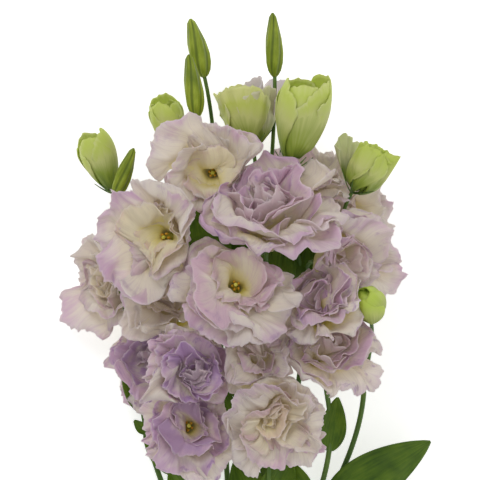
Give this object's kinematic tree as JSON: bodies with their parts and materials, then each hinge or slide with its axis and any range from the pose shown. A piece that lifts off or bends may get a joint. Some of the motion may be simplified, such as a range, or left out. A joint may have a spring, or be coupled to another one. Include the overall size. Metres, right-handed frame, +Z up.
{
  "type": "lisianthus bouquet",
  "caption": "Cut bunch of double lisianthus with ruffled pale lavender blooms, pale green buds and leaves, tied by a band and lying flat.",
  "frame": {"origin": "middle of the bunch's outline on the table that it lies on", "axes": "+Y from the cut ends of the stems to the blooms, +Z up from the table, +X to the right seen from above with the blooms away"},
  "size_m": [0.2568, 0.5516, 0.1526],
  "materials": {
    "petals": "soft matt petals, pale lavender to cream",
    "stamens": "matt yellow",
    "buds": "soft matt, pale green",
    "stems": "satin green",
    "band": "matt tan rubber"
  },
  "bodies": {
    "root": {"back_east": "petals", "back_east_heart": "stamens", "back_north": "petals", "back_north_heart": "stamens", "band": "band", "bud_inner_left": "buds", "bud_left": "buds", "bud_right": "buds", "bud_round": "buds", "bud_tall": "buds", "bud_white": "buds", "crown": "petals", "crown_heart": "stamens", "east": "petals", "east_foot": "petals", "east_foot_heart": "stamens", "east_heart": "stamens", "far_east": "petals", "far_east_heart": "stamens", "far_west": "petals", "far_west_heart": "stamens", "foot_cream": "petals", "foot_cream_heart": "stamens", "foot_west": "petals", "foot_west_heart": "stamens", "heart": "petals", "heart_heart": "stamens", "inner": "petals", "inner_heart": "stamens", "plum": "petals", "plum_back": "petals", "plum_back_heart": "stamens", "plum_heart": "stamens", "stem_back": "stems", "stem_cream": "stems", "stem_far_left": "stems", "stem_far_right": "stems", "stem_heart": "stems", "stem_left": "stems", "stem_left_front": "stems", "stem_mid": "stems", "stem_mid_left": "stems", "stem_mid_right": "stems", "stem_right": "stems", "top": "petals", "top_heart": "stamens", "under_west": "petals", "under_west_heart": "stamens", "west": "petals", "west_heart": "stamens"}
  },
  "joints": []
}
